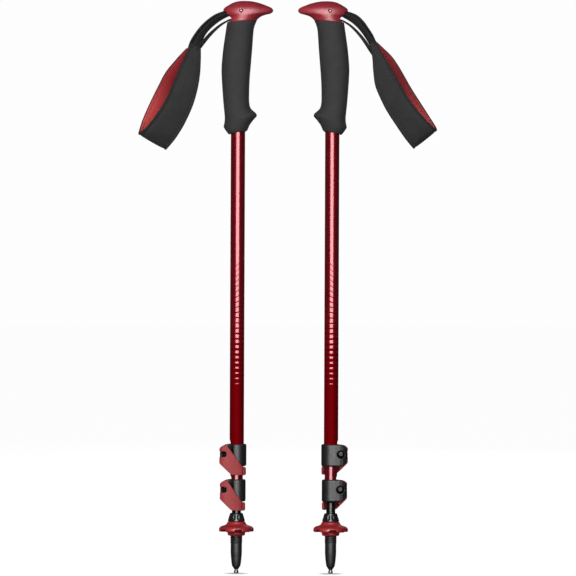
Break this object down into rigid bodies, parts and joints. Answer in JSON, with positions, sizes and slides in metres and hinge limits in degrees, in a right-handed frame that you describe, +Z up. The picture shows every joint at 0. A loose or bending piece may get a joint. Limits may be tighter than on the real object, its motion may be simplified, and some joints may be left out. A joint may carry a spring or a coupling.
{
  "type": "trekking poles",
  "caption": "Pair of collapsed three-section trekking poles with foam grips, padded wrist straps, lever clamps, baskets and hard tips.",
  "frame": {"origin": "on the floor under the pair, half way along and across it", "axes": "+Z up the shafts, +X from the left pole to the right one, -Y towards the left pole's clamp levers"},
  "size_m": [0.3384, 0.0436, 0.6406],
  "materials": {
    "upper_tube": "glossy red anodised aluminium, with fine dark rings that close up to a satin red lower down",
    "middle_tube": "glossy red anodised aluminium",
    "lower_tube": "glossy black anodised aluminium",
    "red_plastic": "moulded red nylon, satin",
    "basket_red": "moulded red polypropylene, satin",
    "black_plastic": "moulded black nylon",
    "clamp_plastic": "moulded black glass-filled nylon, fine grain",
    "tip_plastic": "moulded black plastic, satin",
    "eva_foam": "closed-cell EVA foam, fine matt grain",
    "strap_shell": "black woven polyester, padded",
    "strap_lining": "red brushed knit",
    "webbing": "black woven webbing",
    "steel": "zinc-plated steel",
    "black_steel": "black oxide steel",
    "carbide": "ground tungsten carbide"
  },
  "bodies": {
    "left_lower": {"left_lower_shaft": "lower_tube", "left_lower_guide": "black_plastic", "left_tip_ferrule": "tip_plastic", "left_carbide_tip": "carbide"},
    "left_basket": {"left_basket": "basket_red"},
    "left_middle": {"left_middle_shaft": "middle_tube", "left_middle_guide": "black_plastic", "left_lower_collar": "clamp_plastic", "left_lower_pivot": "black_steel", "left_lower_screw": "steel"},
    "left_lower_lever": {"left_lower_lever": "red_plastic"},
    "left_upper": {"left_upper_shaft": "upper_tube", "left_upper_collar": "clamp_plastic", "left_upper_pivot": "black_steel", "left_upper_screw": "steel", "left_grip_core": "black_plastic", "left_grip_foam": "eva_foam", "left_grip_cap": "red_plastic", "left_strap_pin": "steel", "left_strap_wedge": "black_plastic", "left_strap_anchor": "webbing"},
    "left_upper_lever": {"left_upper_lever": "red_plastic"},
    "left_strap": {"left_strap_webbing": "webbing", "left_strap_pad": "strap_shell", "left_strap_lining": "strap_lining"},
    "right_lower": {"right_lower_shaft": "lower_tube", "right_lower_guide": "black_plastic", "right_tip_ferrule": "tip_plastic", "right_carbide_tip": "carbide"},
    "right_basket": {"right_basket": "basket_red"},
    "right_middle": {"right_middle_shaft": "middle_tube", "right_middle_guide": "black_plastic", "right_lower_collar": "clamp_plastic", "right_lower_pivot": "black_steel", "right_lower_screw": "steel"},
    "right_lower_lever": {"right_lower_lever": "red_plastic"},
    "right_upper": {"right_upper_shaft": "upper_tube", "right_upper_collar": "clamp_plastic", "right_upper_pivot": "black_steel", "right_upper_screw": "steel", "right_grip_core": "black_plastic", "right_grip_foam": "eva_foam", "right_grip_cap": "red_plastic", "right_strap_pin": "steel", "right_strap_wedge": "black_plastic", "right_strap_anchor": "webbing"},
    "right_upper_lever": {"right_upper_lever": "red_plastic"},
    "right_strap": {"right_strap_webbing": "webbing", "right_strap_pad": "strap_shell", "right_strap_lining": "strap_lining"}
  },
  "joints": [
    {"name": "left_basket_turn", "type": "hinge", "parent": "left_lower", "child": "left_basket", "pos_m": [-0.0558, 0, 0.05], "axis": [0, 0, -1], "range_deg": [0, 360]},
    {"name": "left_middle_slide", "type": "slide", "parent": "left_lower", "child": "left_middle", "axis": [0, 0, 1], "range_m": [0, 0.38]},
    {"name": "left_lower_lever_swing", "type": "hinge", "parent": "left_middle", "child": "left_lower_lever", "pos_m": [-0.0664, -0.0135, 0.094], "axis": [0, 0, -1], "range_deg": [0, 140]},
    {"name": "left_upper_slide", "type": "slide", "parent": "left_middle", "child": "left_upper", "axis": [0, 0, 1], "range_m": [0, 0.38]},
    {"name": "left_upper_lever_swing", "type": "hinge", "parent": "left_upper", "child": "left_upper_lever", "pos_m": [-0.0669, -0.014, 0.1336], "axis": [0, 0, -1], "range_deg": [0, 140]},
    {"name": "left_strap_swing", "type": "hinge", "parent": "left_upper", "child": "left_strap", "pos_m": [-0.0708, 0, 0.6215], "axis": [0, 1, 0], "range_deg": [-15, 75]},
    {"name": "right_pole_apart", "type": "slide", "parent": "left_lower", "child": "right_lower", "axis": [1, 0, 0], "range_m": [0, 0.3]},
    {"name": "right_basket_turn", "type": "hinge", "parent": "right_lower", "child": "right_basket", "pos_m": [0.0498, 0, 0.05], "axis": [0, 0, -1], "range_deg": [0, 360]},
    {"name": "right_middle_slide", "type": "slide", "parent": "right_lower", "child": "right_middle", "axis": [0, 0, 1], "range_m": [0, 0.38]},
    {"name": "right_lower_lever_swing", "type": "hinge", "parent": "right_middle", "child": "right_lower_lever", "pos_m": [0.0604, 0.0135, 0.094], "axis": [0, 0, -1], "range_deg": [0, 140]},
    {"name": "right_upper_slide", "type": "slide", "parent": "right_middle", "child": "right_upper", "axis": [0, 0, 1], "range_m": [0, 0.38]},
    {"name": "right_upper_lever_swing", "type": "hinge", "parent": "right_upper", "child": "right_upper_lever", "pos_m": [0.0609, 0.014, 0.1336], "axis": [0, 0, -1], "range_deg": [0, 140]},
    {"name": "right_strap_swing", "type": "hinge", "parent": "right_upper", "child": "right_strap", "pos_m": [0.0648, 0, 0.6215], "axis": [0, -1, 0], "range_deg": [-15, 75]}
  ]
}
